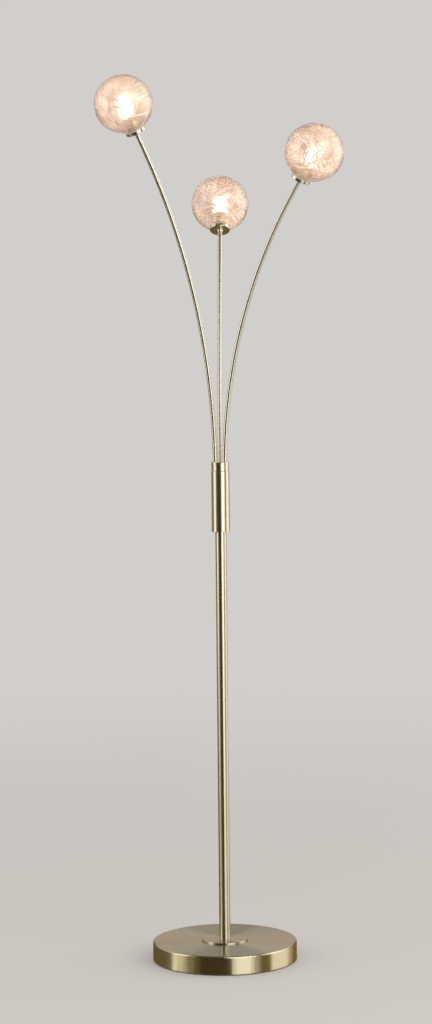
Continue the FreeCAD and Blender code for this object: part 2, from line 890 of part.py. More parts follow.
def ferrule(arm):
    """Tapered shoulder brazed on the arm, which carries the cup."""
    body = new_body("ferrule_" + arm)
    turn(
        body,
        body.Label + "_cone",
        [
            ("arm_pass_radius", "-ferrule_length"),
            ("arm_dia / 2 + cover_floor / 2", "-ferrule_length"),
            ("ferrule_dia / 2", "-cover_floor / 2"),
            ("ferrule_dia / 2", "0"),
            ("arm_pass_radius", "0"),
        ],
    )
    return on_tip(body, arm)


def cup(arm):
    """Shallow turned cup; the globe's mouth goes over its rim and rests on its shoulder."""
    body = new_body("cup_" + arm)
    outside = "cup_dia / 2"
    turn(
        body,
        body.Label + "_turning",
        [
            ("arm_pass_radius", "0"),
            (outside + " - cup_edge_radius", "0"),
            (outside, "cup_edge_radius", "cup_edge_radius"),
            (outside, "shoulder_top"),
            ("rim_radius", "shoulder_top"),
            ("rim_radius", "cup_height"),
            ("cup_inside", "cup_height"),
            ("cup_inside", "cup_floor"),
            ("arm_pass_radius", "cup_floor"),
        ],
    )
    return on_tip(body, arm)


def socket_cover(arm):
    """Brass tube round the lampholder, with a floor held down by the cup's nut."""
    body = new_body("socket_cover_" + arm)
    outside = "cover_dia / 2"
    inside = "(cover_dia / 2 - cover_sheet)"
    floor = "cup_floor + cover_floor"
    turn(
        body,
        body.Label + "_drawing",
        [
            ("arm_pass_radius", "cup_floor"),
            (outside, "cup_floor"),
            (outside, "cover_height"),
            (inside, "cover_height"),
            (inside, floor),
            ("arm_pass_radius", floor),
        ],
    )
    return on_tip(body, arm)


def cup_nut(arm):
    body = new_body("cup_nut_" + arm)
    bottom = "cup_floor + cover_floor"
    name = body.Label + "_prism"
    hexagon(body, name, "cup_nut_flats", "arm_thread_radius", bottom, "cup_nut_height")
    return on_tip(body, arm)


def gasket(arm):
    """Silicone ring between the cup's shoulder and the globe's mouth."""
    inside = "rim_radius + thread_gap"
    body = ring("gasket_" + arm, inside, "cup_dia / 2", "shoulder_top", "gasket_top")
    return on_tip(body, arm)


def pin_slots(sketch, width, thickness):
    for side in ("-", ""):
        rectangle(
            sketch,
            f"{side}pin_spacing / 2 - {width} / 2",
            f"-{thickness} / 2",
            f"{side}pin_spacing / 2 + {width} / 2",
            f"{thickness} / 2",
        )


def lampholder(arm):
    """Ceramic two-pin lampholder screwed on the arm's end."""
    body = new_body("lampholder_" + arm)
    foot = "holder_bottom + holder_foot"
    thread_end = "arm_end + lead_gap"
    wire_end = "arm_end + wire_bore_depth"
    turn(
        body,
        body.Label + "_ceramic",
        [
            ("arm_thread_radius", "holder_bottom"),
            ("holder_foot_dia / 2", "holder_bottom"),
            ("holder_foot_dia / 2", foot),
            ("holder_dia / 2", foot + " + holder_chamfer"),
            ("holder_dia / 2", "holder_top"),
            ("holder_recess_dia / 2", "holder_top"),
            ("holder_recess_dia / 2", "holder_recess_floor"),
            ("0", "holder_recess_floor"),
            ("0", wire_end),
            ("wire_bore / 2", wire_end),
            ("wire_bore / 2", thread_end),
            ("arm_thread_radius", thread_end),
        ],
    )
    slots = new_sketch(body, body.Label + "_slots", "XY_Plane", lift="holder_recess_floor")
    pin_slots(slots, "(pin_width + 2 * pin_gap)", "(pin_thickness + 2 * pin_gap)")
    pocket(body, body.Label + "_contacts", slots, "pin_length - seat_gap + pin_end_gap")
    return on_tip(body, arm)


def bulb_base(arm):
    """Bulb's insulating base with its two flat pins."""
    body = new_body("bulb_base_" + arm)
    radius = "bulb_base_dia / 2"
    seat = "bulb_base_top - bulb_seat"
    turn(
        body,
        body.Label + "_moulding",
        [
            ("0", "bulb_base_bottom"),
            (radius, "bulb_base_bottom"),
            (radius, seat),
            ("bulb_dia / 2", "bulb_base_top"),
            ("0", "bulb_base_top"),
        ],
    )
    pins = new_sketch(body, body.Label + "_pin_outline", "XY_Plane", lift="bulb_base_bottom - pin_length")
    pin_slots(pins, "pin_width", "pin_thickness")
    pad(body, body.Label + "_pins", pins, "pin_length + bulb_seat")
    return on_tip(body, arm)


def bulb(arm):
    """Frosted capsule on the bulb's base."""
    body = new_body("bulb_" + arm)
    outside = "bulb_dia / 2"
    inside = "(bulb_dia / 2 - bulb_wall)"
    turn(
        body,
        body.Label + "_capsule",
        [
            (inside, "bulb_base_top"),
            (outside, "bulb_base_top"),
            (outside, "bulb_end"),
            ("0", "bulb_top", outside),
            ("0", "bulb_top - bulb_wall"),
            (inside, "bulb_end", "-" + inside),
        ],
    )
    return on_tip(body, arm)


def globe(arm):
    """Blown glass globe with a plain round mouth."""
    body = new_body("globe_" + arm)
    turn(
        body,
        body.Label + "_blowing",
        [
            ("mouth_radius", "mouth_outer"),
            ("0", "globe_offset + globe_radius", "globe_radius"),
            ("0", "globe_offset + globe_inside"),
            ("mouth_radius", "mouth_inner", "-globe_inside"),
        ],
    )
    return on_tip(body, arm)


base_cover()
base_weight()
screw_pass_radius = "plate_screw_dia / 2 + hole_gap"
disc_with_holes("base_plate", "plate_radius", "pad_thickness", "plate_thickness", screw_pass_radius)
disc_with_holes("base_pad", "pad_radius", "0", "pad_thickness", "plate_screw_access / 2")
plate_screws()
cord_bush()
pole_flange()
ring(
    "base_stud",
    "stud_bore / 2",
    "stud_dia / 2",
    "stud_nut_bottom - stud_tail",
    "flange_top + stud_pole_depth",
)
ring(
    "base_washer",
    "stud_hole_radius",
    "washer_dia / 2",
    "nut_recess_top - washer_thickness",
    "nut_recess_top",
)
base_nut()
ring(
    "pole_foot",
    "stud_thread_radius",
    "pole_inside - thread_gap",
    "flange_top",
    "flange_top + pole_foot_length",
)
tube("pole_lower", "flange_top", "pole_joint", False, True)
ring(
    "pole_coupler",
    "coupler_bore / 2",
    "pole_inside - thread_gap",
    "pole_joint - coupler_half",
    "pole_joint + coupler_half",
)
tube("pole_upper", "pole_joint", "pole_top", True, False)
hub_adaptor()
hub_sleeve()
hub_grub_screw()
hub_cap()
arm_nipples()
arm_nuts()
terminal_block()
head = (ferrule, cup, socket_cover, cup_nut, gasket, lampholder, bulb_base, bulb, globe)
for arm in ARMS:
    for make in (arm_tube, lead, *head):
        make(arm)

doc.recompute()
for item in doc.Objects:
    if "Invalid" in item.State or "Error" in item.State:
        raise RuntimeError(f"{item.Name} did not recompute: {item.State}")
for body in subparts:
    if body.Shape.isNull() or not body.Shape.isValid() or not body.Shape.Solids:
        raise RuntimeError(body.Label + " has no valid solid")

os.makedirs("parts", exist_ok=True)
for body in subparts:
    body.Shape.exportStep(os.path.join("parts", body.Label + ".step"))
    print(f"{body.Label}: {len(body.Shape.Solids)} solid, {body.Shape.Volume / 1000:.2f} cm3")
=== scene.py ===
import json
import math
import random

import bpy
from mathutils import Matrix, Vector


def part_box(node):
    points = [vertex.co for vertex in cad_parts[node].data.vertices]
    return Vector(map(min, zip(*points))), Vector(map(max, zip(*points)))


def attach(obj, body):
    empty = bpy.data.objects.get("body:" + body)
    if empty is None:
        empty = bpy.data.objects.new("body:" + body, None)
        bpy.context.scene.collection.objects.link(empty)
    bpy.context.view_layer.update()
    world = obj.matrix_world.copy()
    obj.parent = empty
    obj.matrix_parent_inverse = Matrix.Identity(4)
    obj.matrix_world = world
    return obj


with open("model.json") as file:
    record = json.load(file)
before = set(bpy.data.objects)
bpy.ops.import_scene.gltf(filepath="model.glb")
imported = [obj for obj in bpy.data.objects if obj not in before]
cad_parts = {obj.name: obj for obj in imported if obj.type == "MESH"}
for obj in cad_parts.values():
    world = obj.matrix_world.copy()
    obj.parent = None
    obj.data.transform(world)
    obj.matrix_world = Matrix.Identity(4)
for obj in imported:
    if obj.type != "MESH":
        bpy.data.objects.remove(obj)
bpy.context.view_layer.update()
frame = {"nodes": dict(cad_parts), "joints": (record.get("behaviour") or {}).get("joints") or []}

# ---------------------------------------------------------------------------------------------
# Places that the looks are built round, in metres: the globes' size, given, and their centres and
# lift axes, read from the CAD nodes and the joints
# ---------------------------------------------------------------------------------------------

SIDES = ("left", "right", "rear")
UP = Vector((0, 0, 1))
GLOBE_RADIUS = 0.050
GLOBE_WALL = 0.002


def lift_axis(side):
    """The direction in which a head points, which is the way its globe lifts off."""
    joint = next(j for j in frame["joints"] if j["name"] == f"{side}_globe_lift")
    return Vector(joint["axis"]).normalized()


def sphere_centre(node):
    """The centre of the sphere that most of a globe's outer wall lies on."""
    low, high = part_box(node)
    return Vector((low.x + GLOBE_RADIUS, low.y + GLOBE_RADIUS, high.z - GLOBE_RADIUS))


AXIS = {side: lift_axis(side) for side in SIDES}
CENTRE = {side: sphere_centre(f"globe_{side}") for side in SIDES}


# ---------------------------------------------------------------------------------------------
# Node helpers
# ---------------------------------------------------------------------------------------------


def put(tree, kind, inputs=(), **settings):
    """A new node, with its settings and its inputs, each a plain value or another node's socket."""
    node = tree.nodes.new(kind)
    for name, value in settings.items():
        setattr(node, name, value)
    for key, value in dict(inputs).items():
        if isinstance(value, bpy.types.NodeSocket):
            tree.links.new(value, node.inputs[key])
        else:
            node.inputs[key].default_value = value
    return node


def maths(tree, operation, *values):
    """The result of a Math node."""
    return put(tree, "ShaderNodeMath", enumerate(values), operation=operation).outputs[0]


def vectors(tree, operation, *values):
    """The vector result of a Vector Math node."""
    return put(tree, "ShaderNodeVectorMath", enumerate(values), operation=operation).outputs[0]


def scaled(tree, vector, factor):
    """A vector times a number."""
    inputs = {0: vector, "Scale": factor}
    return put(tree, "ShaderNodeVectorMath", inputs, operation="SCALE").outputs[0]


def measured(tree, operation, *values):
    """The number that a Vector Math node gives, such as a length or a dot product."""
    node = put(tree, "ShaderNodeVectorMath", enumerate(values), operation=operation)
    return node.outputs["Value"]


def noise(tree, lookup, scale, detail=2.0, roughness=0.5):
    """A noise pattern from 0 to 1."""
    inputs = {"Vector": lookup, "Scale": scale, "Detail": detail, "Roughness": roughness}
    return put(tree, "ShaderNodeTexNoise", inputs).outputs["Fac"]


def spread(tree, value, low, high, to_low, to_high):
    """A pattern's range stretched to another range."""
    inputs = {0: value, 1: low, 2: high, 3: to_low, 4: to_high}
    return put(tree, "ShaderNodeMapRange", inputs).outputs[0]


def blend(tree, share, first, second):
    """A colour between two."""
    node = put(tree, "ShaderNodeMix", {"Factor": share}, data_type="RGBA")
    for socket, colour in ((node.inputs[6], first), (node.inputs[7], second)):
        if isinstance(colour, bpy.types.NodeSocket):
            tree.links.new(colour, socket)
        else:
            socket.default_value = (*colour, 1)
    return node.outputs[2]


def bump(tree, height, strength, distance):
    """A normal from a height pattern."""
    inputs = {"Height": height, "Strength": strength, "Distance": distance}
    return put(tree, "ShaderNodeBump", inputs).outputs["Normal"]


def new_material(name):
    """A material with a Principled shader, as (material, tree, shader)."""
    material = bpy.data.materials.new(name)
    material.use_nodes = True
    tree = material.node_tree
    tree.nodes.clear()
    shader = put(tree, "ShaderNodeBsdfPrincipled")
    put(tree, "ShaderNodeOutputMaterial", {"Surface": shader.outputs[0]})
    return material, tree, shader


def feed(tree, shader, **inputs):
    """Sets or links the shader's inputs, named with _ for each space."""
    for name, value in inputs.items():
        socket = shader.inputs[name.replace("_", " ")]
        if isinstance(value, bpy.types.NodeSocket):
            tree.links.new(value, socket)
        else:
            socket.default_value = value


# ---------------------------------------------------------------------------------------------
# Brushed metal
# ---------------------------------------------------------------------------------------------

# each finish's lighter and darker tone
BRASS_LIGHT, BRASS_DARK = (0.90, 0.865, 0.72), (0.84, 0.79, 0.63)
SPUN_LIGHT, SPUN_DARK = (0.86, 0.80, 0.61), (0.78, 0.71, 0.52)
SATIN_LIGHT, SATIN_DARK = (0.87, 0.845, 0.77), (0.80, 0.77, 0.68)
# painted shade: a spun face that looks up is painted darker, and so are its darkest wedge shapes,
# each as a share of the rest
TOP_PAINTED_SHADE = 0.64
WEDGE_PAINTED_SHADE = 0.78
# how steeply a spun face looks up, as the cosine from UP, where its painted shade starts and is
# full
TOP_STARTS, TOP_FULL = 0.6, 0.9
# brush marks to the metre, and their depths on turned bodies and on the arms
FINE_MARKS, SPUN_MARKS = 900.0, 420.0
MARK_DEPTH, ARM_MARK_DEPTH = 0.00005, 0.00004
# the heights between which an arm's direction turns from upright to its head's lean
ARM_UPRIGHT, ARM_LEANING = 0.86, 1.30
# the middle spans of a noise pattern that are stretched to a whole range
FULL_SPAN, CLOUD_SPAN = (0.3, 0.7), (0.35, 0.65)


def lathe(tree, point, axis):
    """For a turned body, (the direction across its brush marks, a lookup that runs along them)."""
    coordinates = put(tree, "ShaderNodeTexCoord").outputs["Object"]
    offset = vectors(tree, "SUBTRACT", coordinates, tuple(point))
    along = measured(tree, "DOT_PRODUCT", offset, tuple(axis))
    radial = vectors(tree, "SUBTRACT", offset, scaled(tree, tuple(axis), along))
    radius = measured(tree, "LENGTH", radial)
    outward = vectors(tree, "NORMALIZE", radial)
    round_axis = vectors(tree, "CROSS_PRODUCT", tuple(axis), outward)
    normal = put(tree, "ShaderNodeNewGeometry").outputs["Normal"]
    across = vectors(tree, "CROSS_PRODUCT", normal, round_axis)
    depth = maths(tree, "ADD", radius, along)
    return across, outward, depth


def brushed(name, point, axis, light=BRASS_LIGHT, dark=BRASS_DARK, rough=(0.285, 0.315),
            marks=FINE_MARKS, arc=1.6, grain=0.012, anisotropy=0.9, painted_wedge_shade=0.0):
    """Brushed brass on a turned body, its brush marks round the axis. A spun one also has painted
    shade: darker wedge shapes, and a face that looks up painted darker."""
    material, tree, shader = new_material(name)
    across, outward, depth = lathe(tree, point, axis)
    step = scaled(tree, tuple(axis), maths(tree, "MULTIPLY", depth, marks))
    lookup = vectors(tree, "ADD", scaled(tree, outward, arc), step)
    lines = noise(tree, lookup, 1.0, detail=5.0, roughness=0.65)
    coordinates = put(tree, "ShaderNodeTexCoord").outputs["Object"]
    clouds = noise(tree, coordinates, 28.0, detail=3.0)
    share = spread(tree, lines, *FULL_SPAN, 0.0, 1.0)
    colour = blend(tree, share, dark, light)
    if painted_wedge_shade:
        # painted reflection: sectors round the axis are painted darker, in the wedge shapes that a
        # spun face's reflections take
        sectors = noise(tree, outward, 2.4, detail=2.0)
        shade = spread(tree, sectors, *CLOUD_SPAN, 0.0, painted_wedge_shade)
        colour = blend(tree, shade, colour, tuple(WEDGE_PAINTED_SHADE * c for c in light))
        # painted shade: the colour is darkened where a face looks up, down to a share of its tone
        # on the top
        normal = put(tree, "ShaderNodeNewGeometry").outputs["Normal"]
        level = measured(tree, "DOT_PRODUCT", normal, UP)
        tone = spread(tree, level, TOP_STARTS, TOP_FULL, 1.0, TOP_PAINTED_SHADE)
        colour = scaled(tree, colour, tone)
    smudged = maths(tree, "MULTIPLY_ADD", clouds, 0.5, maths(tree, "MULTIPLY", lines, 0.5))
    feed(
        tree, shader, Base_Color=colour, Metallic=1.0, Anisotropic=anisotropy,
        Roughness=spread(tree, smudged, *CLOUD_SPAN, *rough), Tangent=across,
        Normal=bump(tree, lines, grain, MARK_DEPTH),
    )
    return material


def along_tube(name, side):
    """Satin tube metal for a curved arm, its fine marks round the tube."""
    material, tree, shader = new_material(name)
    coordinates = put(tree, "ShaderNodeTexCoord").outputs["Object"]
    axis = AXIS[side]
    lean = Vector((axis.x, axis.y, 0)).normalized()
    height = measured(tree, "DOT_PRODUCT", coordinates, tuple(UP))
    share = spread(tree, height, ARM_UPRIGHT, ARM_LEANING, 0, 1)
    direction = blend(tree, share, tuple(UP), tuple(axis))
    streaked = vectors(tree, "MULTIPLY", coordinates, (8.0, 8.0, FINE_MARKS))
    lines = noise(tree, streaked, 1.0, 4.0)
    # the lean shifts the clouds, so that no two arms have the same ones
    clouds = noise(tree, vectors(tree, "ADD", coordinates, tuple(lean)), 22.0, 3.0)
    colour = blend(tree, lines, SATIN_DARK, SATIN_LIGHT)
    feed(
        tree, shader, Base_Color=colour, Metallic=1.0, Anisotropic=0.9,
        Roughness=spread(tree, clouds, *CLOUD_SPAN, 0.255, 0.285), Tangent=direction,
        Normal=bump(tree, lines, 0.008, ARM_MARK_DEPTH),
    )
    return material


def steel(name, light, dark, rough):
    """Plated or raw steel for fasteners and the parts inside."""
    material, tree, shader = new_material(name)
    coordinates = put(tree, "ShaderNodeTexCoord").outputs["Object"]
    spots = noise(tree, coordinates, 260.0, 4.0)
    clouds = noise(tree, coordinates, 40.0, 2.0)
    feed(
        tree, shader, Base_Color=blend(tree, clouds, dark, light), Metallic=1.0,
        Roughness=spread(tree, spots, *FULL_SPAN, *rough), Normal=bump(tree, spots, 0.2, 0.0001),
    )
    return material


def plain(name, light, dark, rough, size=320.0, strength=0.25, depth=0.0002, **inputs):
    """A moulded, cast or foamed material with a fine grain."""
    material, tree, shader = new_material(name)
    coordinates = put(tree, "ShaderNodeTexCoord").outputs["Object"]
    grain = noise(tree, coordinates, size, 5.0, 0.6)
    clouds = noise(tree, coordinates, size / 9, 2.0)
    feed(
        tree, shader, Base_Color=blend(tree, clouds, dark, light),
        Roughness=spread(tree, grain, *FULL_SPAN, *rough),
        Normal=bump(tree, grain, strength, depth), **inputs,
    )
    return material


# ---------------------------------------------------------------------------------------------
# Glass, bulbs and the streaks in the globes
# ---------------------------------------------------------------------------------------------

# the globes' two tints, and the colours that the streaks vary between
BLUSH_DEEP, BLUSH_PALE = (0.90, 0.755, 0.68), (0.95, 0.84, 0.79)
STREAK_WARM, STREAK_CREAM = (1.0, 0.84, 0.73), (1.0, 0.94, 0.84)
STREAK_MILK = (1.0, 0.96, 0.88)
STREAK_ALPHA = 0.85
# emission strengths: a painted glow on the streaks, which are no lamp, and the bulb's own light
STREAK_PAINTED_GLOW = (0.06, 0.50)
BULB_GLOW = 3.8


def globe_glass(name, centre):
    """Pink champagne glass, a little hazy inside and glossy outside."""
    material, tree, shader = new_material(name)
    coordinates = put(tree, "ShaderNodeTexCoord").outputs["Object"]
    offset = vectors(tree, "SUBTRACT", coordinates, tuple(centre))
    waves = noise(tree, offset, 34.0, 2.0)
    swirl = noise(tree, vectors(tree, "MULTIPLY", offset, (30.0, 30.0, 75.0)), 1.0, 3.0)
    tint = blend(tree, spread(tree, swirl, 0.4, 0.6, 0, 1), BLUSH_DEEP, BLUSH_PALE)
    feed(
        tree, shader, Base_Color=tint, Transmission_Weight=1.0, IOR=1.45,
        Roughness=spread(tree, waves, *FULL_SPAN, 0.20, 0.27), Coat_Weight=0.45,
        Coat_Roughness=0.04, Normal=bump(tree, waves, 0.05, 0.0004),
        Sheen_Weight=0.9, Sheen_Roughness=0.25, Sheen_Tint=(1.0, 0.76, 0.70, 1.0),
    )
    return material


def streak_glass(name):
    """Cream and pink glass threads, lit by the bulb, with a painted glow that stands in for its
    light shining through them.
    """
    material, tree, shader = new_material(name)
    island = put(tree, "ShaderNodeNewGeometry").outputs["Random Per Island"]
    coordinates = put(tree, "ShaderNodeTexCoord").outputs["Object"]
    mottle = noise(tree, coordinates, 180.0, 3.0)
    warm = blend(tree, island, STREAK_WARM, STREAK_CREAM)
    colour = blend(tree, spread(tree, mottle, *FULL_SPAN, 0.0, 0.5), warm, STREAK_MILK)
    # painted light: the threads glow in their own colour, at a strength that differs from one
    # thread to another
    feed(
        tree, shader, Base_Color=colour, Roughness=spread(tree, mottle, *FULL_SPAN, 0.25, 0.45),
        Emission_Color=colour, Emission_Strength=spread(tree, island, 0, 1, *STREAK_PAINTED_GLOW),
        Alpha=STREAK_ALPHA,
    )
    return material


def bulb_glass(name):
    """The frosted, lit envelope of a bulb."""
    material, tree, shader = new_material(name)
    coordinates = put(tree, "ShaderNodeTexCoord").outputs["Object"]
    frost = noise(tree, coordinates, 900.0, 3.0)
    feed(
        tree, shader, Base_Color=blend(tree, frost, (0.92, 0.90, 0.86), (0.97, 0.95, 0.92)),
        Roughness=spread(tree, frost, *FULL_SPAN, 0.45, 0.6),
        Normal=bump(tree, frost, 0.2, 0.0001),
        Emission_Color=(1.0, 0.965, 0.91, 1.0), Emission_Strength=BULB_GLOW,
    )
    return material


CLUSTERS = 80
STREAKS_IN_CLUSTER = (3, 6)
# angles in degrees: the first streak's distance from its cluster's pole, the next ones' distance
# from one to another, and the length of each
CLUSTER_OPENING = (24, 84)
STREAK_SPACING = (4.0, 8.0)
STREAK_SWEEP = (22, 66)
# angles in radians: how far a streak waves, and how far its start may shift from the last one's
STREAK_WAVE = 0.07
STREAK_SHIFT = 0.25
# metres: half of a streak's thickness and width, and its clearance from the globe's wall
STREAK_HALF_THICK = (0.00025, 0.0004)
STREAK_HALF_WIDE = (0.0005, 0.0007, 0.0010, 0.0013, 0.0016)
STREAK_GAP = 0.0002
# a streak's width at its ends, as a share of its middle
STREAK_TIP = 0.15
STREAK_STEPS = 16
STREAK_SIDES = 6
MOUTH_CLEAR = math.cos(math.radians(25))


def any_direction(rng):
    """A unit vector, evenly spread over the sphere."""
    z = rng.uniform(-1, 1)
    turn = rng.uniform(0, math.tau)
    flat = math.sqrt(1 - z * z)
    return Vector((flat * math.cos(turn), flat * math.sin(turn), z))


def streak_cluster(rng, mouth):
    """Near-parallel strokes round one pole of the sphere, each a list of directions, clear of
    the globe's mouth."""
    pole = any_direction(rng)
    across = pole.orthogonal().normalized()
    other = pole.cross(across)
    opening = math.radians(rng.uniform(*CLUSTER_OPENING))
    start = rng.uniform(0, math.tau)
    paths = []
    for _ in range(rng.randint(*STREAKS_IN_CLUSTER)):
        sweep = math.radians(rng.uniform(*STREAK_SWEEP)) / max(math.sin(opening), 0.5)
        wave, phase = rng.uniform(0.0, STREAK_WAVE), rng.uniform(0, math.tau)
        path = []
        for i in range(STREAK_STEPS + 1):
            t = i / STREAK_STEPS
            turn = start + sweep * t
            angle = opening + wave * math.sin(phase + 4 * t)
            ring = across * math.cos(turn) + other * math.sin(turn)
            path.append(pole * math.cos(angle) + ring * math.sin(angle))
        if all(p.dot(mouth) < MOUTH_CLEAR for p in path):
            paths.append(path)
        opening += math.radians(rng.uniform(*STREAK_SPACING))
        start += rng.uniform(-STREAK_SHIFT, STREAK_SHIFT)
    return paths


def add_streak(rng, path, centre, vertices, faces):
    """One flattened, tapering thread laid on the inside of the globe's wall."""
    half_thick = rng.uniform(*STREAK_HALF_THICK)
    half_wide = rng.choice(STREAK_HALF_WIDE)
    radius = GLOBE_RADIUS - GLOBE_WALL - STREAK_GAP - half_thick
    first = len(vertices)
    last = len(path) - 1
    for i, direction in enumerate(path):
        ahead = (path[min(i + 1, last)] - path[max(i - 1, 0)]).normalized()
        sideways = direction.cross(ahead).normalized()
        bulge = max(math.sin(math.pi * i / last), 0.0) ** 0.5
        taper = bulge * (1 - STREAK_TIP) + STREAK_TIP
        for k in range(STREAK_SIDES):
            turn = math.tau * k / STREAK_SIDES
            out = direction * (half_thick * math.sin(turn) * taper)
            aside = sideways * (half_wide * math.cos(turn) * taper)
            vertices.append(centre + direction * radius + out + aside)
    for i in range(last):
        row = first + i * STREAK_SIDES
        for k in range(STREAK_SIDES):
            k2 = (k + 1) % STREAK_SIDES
            faces.append((row + k, row + k2, row + STREAK_SIDES + k2, row + STREAK_SIDES + k))
    end = first + last * STREAK_SIDES
    faces.append(tuple(first + k for k in reversed(range(STREAK_SIDES))))
    faces.append(tuple(end + k for k in range(STREAK_SIDES)))


def make_streaks(side, material, seed):
    """The tangle of streaks in one globe, as one piece that goes with the globe."""
    rng = random.Random(seed)
    vertices, faces = [], []
    for _ in range(CLUSTERS):
        for path in streak_cluster(rng, -AXIS[side]):
            add_streak(rng, path, CENTRE[side], vertices, faces)
    mesh = bpy.data.meshes.new(f"streaks_{side}")
    mesh.from_pydata([tuple(v) for v in vertices], [], faces)
    mesh.polygons.foreach_set("use_smooth", [True] * len(mesh.polygons))
    mesh.materials.append(material)
    piece = bpy.data.objects.new(f"streaks_{side}", mesh)
    bpy.context.scene.collection.objects.link(piece)
    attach(piece, f"{side}_globe")


# ---------------------------------------------------------------------------------------------
# Finishes for the CAD nodes
# ---------------------------------------------------------------------------------------------


def dress(node, material):
    """Gives a CAD node its finish."""
    mesh = frame["nodes"][node].data
    mesh.materials.clear()
    mesh.materials.append(material)


ORIGIN = (0, 0, 0)
brass_turned = brushed("brass_turned", ORIGIN, UP)
brass_pole = brushed("brass_pole", ORIGIN, UP, rough=(0.275, 0.305))
# spun brass for the base and the flange, with painted shade on their tops and in wedge shapes
brass_spun_painted_shade = brushed(
    "brass_spun_painted_shade", ORIGIN, UP, light=SPUN_LIGHT, dark=SPUN_DARK, rough=(0.255, 0.30),
    marks=SPUN_MARKS, anisotropy=0.97, painted_wedge_shade=0.4,
)
zinc = steel("zinc_steel", (0.72, 0.72, 0.70), (0.58, 0.58, 0.57), (0.28, 0.42))
plate = steel("plate_steel", (0.46, 0.46, 0.46), (0.34, 0.34, 0.35), (0.40, 0.55))
iron = plain("cast_weight", (0.085, 0.083, 0.08), (0.05, 0.05, 0.05), (0.6, 0.85), strength=0.5)
foam = plain("foam_pad", (0.05, 0.05, 0.05), (0.03, 0.03, 0.03), (0.85, 1.0), size=700.0)
rubber = plain("bush_rubber", (0.045, 0.045, 0.045), (0.03, 0.03, 0.03), (0.55, 0.7))
seal = plain("clear_silicone", (0.80, 0.80, 0.78), (0.72, 0.72, 0.70), (0.35, 0.5))
nylon = plain("terminal_nylon", (0.82, 0.82, 0.80), (0.76, 0.76, 0.74), (0.4, 0.55))
lead = plain("lead_insulation", (0.78, 0.76, 0.70), (0.70, 0.68, 0.62), (0.4, 0.55))
ceramic = plain("ceramic", (0.84, 0.82, 0.78), (0.76, 0.74, 0.70), (0.3, 0.45), size=500.0)
bulb_body = plain("bulb_body", (0.88, 0.87, 0.84), (0.82, 0.81, 0.78), (0.3, 0.4), size=500.0)
bulb_lit = bulb_glass("frosted_glass")
streaks = streak_glass("glass_streaks")

COMMON = {
    brass_spun_painted_shade: ("base_cover", "pole_flange"),
    brass_pole: ("pole_lower", "pole_upper", "pole_coupler", "pole_foot", "hub_adaptor"),
    brass_turned: ("hub_sleeve", "hub_cap"),
    zinc: ("base_stud", "base_washer", "base_nut", "plate_screws", "arm_nipples", "arm_nuts",
           "hub_grub_screw"),
    plate: ("base_plate",),
    iron: ("base_weight",),
    foam: ("base_pad",),
    rubber: ("cord_bush",),
    nylon: ("terminal_block",),
}
for material, nodes in COMMON.items():
    for node in nodes:
        dress(node, material)

FIRST_SEED = 11
for seed, side in enumerate(SIDES, start=FIRST_SEED):
    head = brushed(f"brass_head_{side}", CENTRE[side], AXIS[side], rough=(0.23, 0.27))
    for stem in ("ferrule", "cup", "socket_cover"):
        dress(f"{stem}_{side}", head)
    dress(f"arm_{side}", along_tube(f"brass_arm_{side}", side))
    dress(f"globe_{side}", globe_glass(f"globe_glass_{side}", CENTRE[side]))
    dress(f"cup_nut_{side}", zinc)
    dress(f"gasket_{side}", seal)
    dress(f"lead_{side}", lead)
    dress(f"lampholder_{side}", ceramic)
    dress(f"bulb_base_{side}", bulb_body)
    dress(f"bulb_{side}", bulb_lit)
    make_streaks(side, streaks, seed)
    # the glass casts no shadow, so that light goes straight through it
    frame["nodes"][f"globe_{side}"].visible_shadow = False


# ---------------------------------------------------------------------------------------------
# Floor, world, lamps and camera
# ---------------------------------------------------------------------------------------------

# the background as it is seen, and as it lights everything
PALE, FILL = (0.64, 0.62, 0.60), (0.72, 0.71, 0.70)
# the floor starts to fade at the first radius, and is gone at a share of its whole radius
FLOOR_FADE, FLOOR_RADIUS, FLOOR_SHARE = 0.5, 3.2, 0.97
# the floor, the level cards and the fans lie one over the other, just below the object's foot
FLOOR_DROP, RING_HEIGHT, FAN_HEIGHT = 0.0003, -0.0002, -0.0001
# the fans start just clear of the base, whose radius is 0.125
FAN_START = 0.128
CARD_STEPS, RING_STEPS = 12, 36


def make_floor():
    """A plain pale floor that fades into the pale background."""
    steps = 96
    ring = [
        (FLOOR_RADIUS * math.cos(math.tau * i / steps),
         FLOOR_RADIUS * math.sin(math.tau * i / steps), -FLOOR_DROP)
        for i in range(steps)
    ]
    mesh = bpy.data.meshes.new("floor")
    mesh.from_pydata(ring, [], [tuple(range(steps))])
    floor = bpy.data.objects.new("floor", mesh)
    bpy.context.scene.collection.objects.link(floor)
    material, tree, shader = new_material("pale_floor")
    coordinates = put(tree, "ShaderNodeTexCoord").outputs["Object"]
    grain = noise(tree, coordinates, 700.0, 2.0)
    feed(
        tree, shader, Base_Color=blend(tree, grain, (0.70, 0.68, 0.655), (0.74, 0.72, 0.695)),
        Roughness=0.8, Specular_IOR_Level=0.2,
    )
    away = measured(tree, "LENGTH", coordinates)
    fade = put(
        tree, "ShaderNodeMapRange",
        {0: away, 1: FLOOR_FADE, 2: FLOOR_RADIUS * FLOOR_SHARE, 3: 1.0, 4: 0.0},
        interpolation_type="SMOOTHSTEP",
    ).outputs[0]
    feed(tree, shader, Alpha=fade)
    mesh.materials.append(material)


